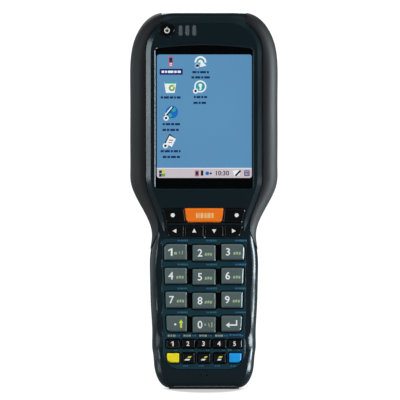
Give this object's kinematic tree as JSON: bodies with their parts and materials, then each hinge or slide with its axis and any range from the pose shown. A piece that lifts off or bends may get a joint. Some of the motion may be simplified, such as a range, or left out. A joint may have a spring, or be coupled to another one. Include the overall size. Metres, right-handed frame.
{
  "type": "portable barcode data terminal",
  "caption": "Waisted handheld data terminal with a display in a bevelled bezel, a scan key, a number keypad, rubber side grips and a hinged battery lid.",
  "frame": {"origin": "centre of the bounding box's bottom face, under the base sole", "axes": "+Z from the base to the scanner end, -Y out of the display and keys, +X to the right seen from the front"},
  "size_m": [0.0848, 0.04, 0.2159],
  "materials": {
    "cover_dark": "satin moulded plastic, fine grain",
    "rubber_black": "soft matte overmould",
    "seal_grey": "silicone",
    "plate_teal": "satin painted plastic",
    "board_green": "solder mask",
    "steel": "bright",
    "touch_lens": "clear touch lens over a lit display",
    "scan_red": "dark red scan window",
    "display_module": "display glass and frame",
    "frame_alloy": "as cast",
    "light_clear": "translucent",
    "engine_black": "moulded",
    "bezel_black": "satin",
    "battery_shell": "moulded",
    "contact_gold": "plated",
    "latch_grey": "moulded, ribbed thumb pad",
    "key_black": "satin key caps",
    "key_grey": "satin key caps",
    "key_orange": "satin key cap",
    "key_yellow": "satin key cap",
    "key_blue": "satin key cap"
  },
  "bodies": {
    "housing": {"front_cover": "cover_dark", "back_cover": "cover_dark", "side_grip_left": "rubber_black", "side_grip_right": "rubber_black", "base_sole": "rubber_black", "housing_seal": "seal_grey", "key_mat": "seal_grey", "display_gasket": "seal_grey", "keypad_plate": "plate_teal", "keypad_board": "board_green", "main_board": "board_green", "status_board": "board_green", "dome_switches": "steel", "lid_hinge_pin": "steel", "housing_screws": "steel", "radio_module": "steel", "display_window": "touch_lens", "scan_window": "scan_red", "lcd_module": "display_module", "inner_frame": "frame_alloy", "light_pipes": "light_clear", "microphone": "engine_black", "speaker": "engine_black", "scan_bezel": "bezel_black", "scan_engine": "engine_black", "battery_pack": "battery_shell", "battery_contacts": "contact_gold", "docking_connector": "engine_black"},
    "lid": {"battery_lid": "cover_dark"},
    "latch": {"lid_latch": "latch_grey"},
    "key_scan_cap": {"key_scan": "key_orange"},
    "key_soft_left_cap": {"key_soft_left": "key_black"},
    "key_soft_right_cap": {"key_soft_right": "key_black"},
    "key_left_cap": {"key_left": "key_black"},
    "key_up_cap": {"key_up": "key_black"},
    "key_down_cap": {"key_down": "key_black"},
    "key_right_cap": {"key_right": "key_black"},
    "power_key_cap": {"power_key": "key_black"},
    "key_1_cap": {"key_1": "key_grey"},
    "key_2_cap": {"key_2": "key_grey"},
    "key_3_cap": {"key_3": "key_grey"},
    "key_4_cap": {"key_4": "key_grey"},
    "key_5_cap": {"key_5": "key_grey"},
    "key_6_cap": {"key_6": "key_grey"},
    "key_7_cap": {"key_7": "key_grey"},
    "key_8_cap": {"key_8": "key_grey"},
    "key_9_cap": {"key_9": "key_grey"},
    "key_point_cap": {"key_point": "key_grey"},
    "key_0_cap": {"key_0": "key_grey"},
    "key_enter_cap": {"key_enter": "key_grey"},
    "key_function_1_cap": {"key_function_1": "key_black"},
    "key_function_2_cap": {"key_function_2": "key_black"},
    "key_function_3_cap": {"key_function_3": "key_black"},
    "key_function_4_cap": {"key_function_4": "key_black"},
    "key_function_5_cap": {"key_function_5": "key_black"},
    "key_yellow_cap": {"key_yellow": "key_yellow"},
    "key_tab_cap": {"key_tab": "key_black"},
    "key_space_cap": {"key_space": "key_black"},
    "key_delete_cap": {"key_delete": "key_black"},
    "key_blue_cap": {"key_blue": "key_blue"}
  },
  "joints": [
    {"name": "lid_hinge", "type": "hinge", "parent": "housing", "child": "lid", "pos_m": [0, 0.0081, 0.0974], "axis": [1, 0, 0], "range_deg": [0, 70]},
    {"name": "latch_slide", "type": "slide", "parent": "lid", "child": "latch", "axis": [0, 0, -1], "range_m": [0, 0.004]},
    {"name": "key_scan_press", "type": "slide", "parent": "housing", "child": "key_scan_cap", "axis": [0, 1, 0], "range_m": [0, 0.0008], "stiffness_N_per_m": 400, "springref_m": -0.0005},
    {"name": "key_soft_left_press", "type": "slide", "parent": "housing", "child": "key_soft_left_cap", "axis": [0, 1, 0], "range_m": [0, 0.0008], "stiffness_N_per_m": 400, "springref_m": -0.0005},
    {"name": "key_soft_right_press", "type": "slide", "parent": "housing", "child": "key_soft_right_cap", "axis": [0, 1, 0], "range_m": [0, 0.0008], "stiffness_N_per_m": 400, "springref_m": -0.0005},
    {"name": "key_left_press", "type": "slide", "parent": "housing", "child": "key_left_cap", "axis": [0, 1, 0], "range_m": [0, 0.0008], "stiffness_N_per_m": 400, "springref_m": -0.0005},
    {"name": "key_up_press", "type": "slide", "parent": "housing", "child": "key_up_cap", "axis": [0, 1, 0], "range_m": [0, 0.0008], "stiffness_N_per_m": 400, "springref_m": -0.0005},
    {"name": "key_down_press", "type": "slide", "parent": "housing", "child": "key_down_cap", "axis": [0, 1, 0], "range_m": [0, 0.0008], "stiffness_N_per_m": 400, "springref_m": -0.0005},
    {"name": "key_right_press", "type": "slide", "parent": "housing", "child": "key_right_cap", "axis": [0, 1, 0], "range_m": [0, 0.0008], "stiffness_N_per_m": 400, "springref_m": -0.0005},
    {"name": "power_key_press", "type": "slide", "parent": "housing", "child": "power_key_cap", "axis": [0, 1, 0], "range_m": [0, 0.0008], "stiffness_N_per_m": 400, "springref_m": -0.0005},
    {"name": "key_1_press", "type": "slide", "parent": "housing", "child": "key_1_cap", "axis": [0, 1, 0], "range_m": [0, 0.0008], "stiffness_N_per_m": 400, "springref_m": -0.0005},
    {"name": "key_2_press", "type": "slide", "parent": "housing", "child": "key_2_cap", "axis": [0, 1, 0], "range_m": [0, 0.0008], "stiffness_N_per_m": 400, "springref_m": -0.0005},
    {"name": "key_3_press", "type": "slide", "parent": "housing", "child": "key_3_cap", "axis": [0, 1, 0], "range_m": [0, 0.0008], "stiffness_N_per_m": 400, "springref_m": -0.0005},
    {"name": "key_4_press", "type": "slide", "parent": "housing", "child": "key_4_cap", "axis": [0, 1, 0], "range_m": [0, 0.0008], "stiffness_N_per_m": 400, "springref_m": -0.0005},
    {"name": "key_5_press", "type": "slide", "parent": "housing", "child": "key_5_cap", "axis": [0, 1, 0], "range_m": [0, 0.0008], "stiffness_N_per_m": 400, "springref_m": -0.0005},
    {"name": "key_6_press", "type": "slide", "parent": "housing", "child": "key_6_cap", "axis": [0, 1, 0], "range_m": [0, 0.0008], "stiffness_N_per_m": 400, "springref_m": -0.0005},
    {"name": "key_7_press", "type": "slide", "parent": "housing", "child": "key_7_cap", "axis": [0, 1, 0], "range_m": [0, 0.0008], "stiffness_N_per_m": 400, "springref_m": -0.0005},
    {"name": "key_8_press", "type": "slide", "parent": "housing", "child": "key_8_cap", "axis": [0, 1, 0], "range_m": [0, 0.0008], "stiffness_N_per_m": 400, "springref_m": -0.0005},
    {"name": "key_9_press", "type": "slide", "parent": "housing", "child": "key_9_cap", "axis": [0, 1, 0], "range_m": [0, 0.0008], "stiffness_N_per_m": 400, "springref_m": -0.0005},
    {"name": "key_point_press", "type": "slide", "parent": "housing", "child": "key_point_cap", "axis": [0, 1, 0], "range_m": [0, 0.0008], "stiffness_N_per_m": 400, "springref_m": -0.0005},
    {"name": "key_0_press", "type": "slide", "parent": "housing", "child": "key_0_cap", "axis": [0, 1, 0], "range_m": [0, 0.0008], "stiffness_N_per_m": 400, "springref_m": -0.0005},
    {"name": "key_enter_press", "type": "slide", "parent": "housing", "child": "key_enter_cap", "axis": [0, 1, 0], "range_m": [0, 0.0008], "stiffness_N_per_m": 400, "springref_m": -0.0005},
    {"name": "key_function_1_press", "type": "slide", "parent": "housing", "child": "key_function_1_cap", "axis": [0, 1, 0], "range_m": [0, 0.0008], "stiffness_N_per_m": 400, "springref_m": -0.0005},
    {"name": "key_function_2_press", "type": "slide", "parent": "housing", "child": "key_function_2_cap", "axis": [0, 1, 0], "range_m": [0, 0.0008], "stiffness_N_per_m": 400, "springref_m": -0.0005},
    {"name": "key_function_3_press", "type": "slide", "parent": "housing", "child": "key_function_3_cap", "axis": [0, 1, 0], "range_m": [0, 0.0008], "stiffness_N_per_m": 400, "springref_m": -0.0005},
    {"name": "key_function_4_press", "type": "slide", "parent": "housing", "child": "key_function_4_cap", "axis": [0, 1, 0], "range_m": [0, 0.0008], "stiffness_N_per_m": 400, "springref_m": -0.0005},
    {"name": "key_function_5_press", "type": "slide", "parent": "housing", "child": "key_function_5_cap", "axis": [0, 1, 0], "range_m": [0, 0.0008], "stiffness_N_per_m": 400, "springref_m": -0.0005},
    {"name": "key_yellow_press", "type": "slide", "parent": "housing", "child": "key_yellow_cap", "axis": [0, 1, 0], "range_m": [0, 0.0008], "stiffness_N_per_m": 400, "springref_m": -0.0005},
    {"name": "key_tab_press", "type": "slide", "parent": "housing", "child": "key_tab_cap", "axis": [0, 1, 0], "range_m": [0, 0.0008], "stiffness_N_per_m": 400, "springref_m": -0.0005},
    {"name": "key_space_press", "type": "slide", "parent": "housing", "child": "key_space_cap", "axis": [0, 1, 0], "range_m": [0, 0.0008], "stiffness_N_per_m": 400, "springref_m": -0.0005},
    {"name": "key_delete_press", "type": "slide", "parent": "housing", "child": "key_delete_cap", "axis": [0, 1, 0], "range_m": [0, 0.0008], "stiffness_N_per_m": 400, "springref_m": -0.0005},
    {"name": "key_blue_press", "type": "slide", "parent": "housing", "child": "key_blue_cap", "axis": [0, 1, 0], "range_m": [0, 0.0008], "stiffness_N_per_m": 400, "springref_m": -0.0005}
  ]
}
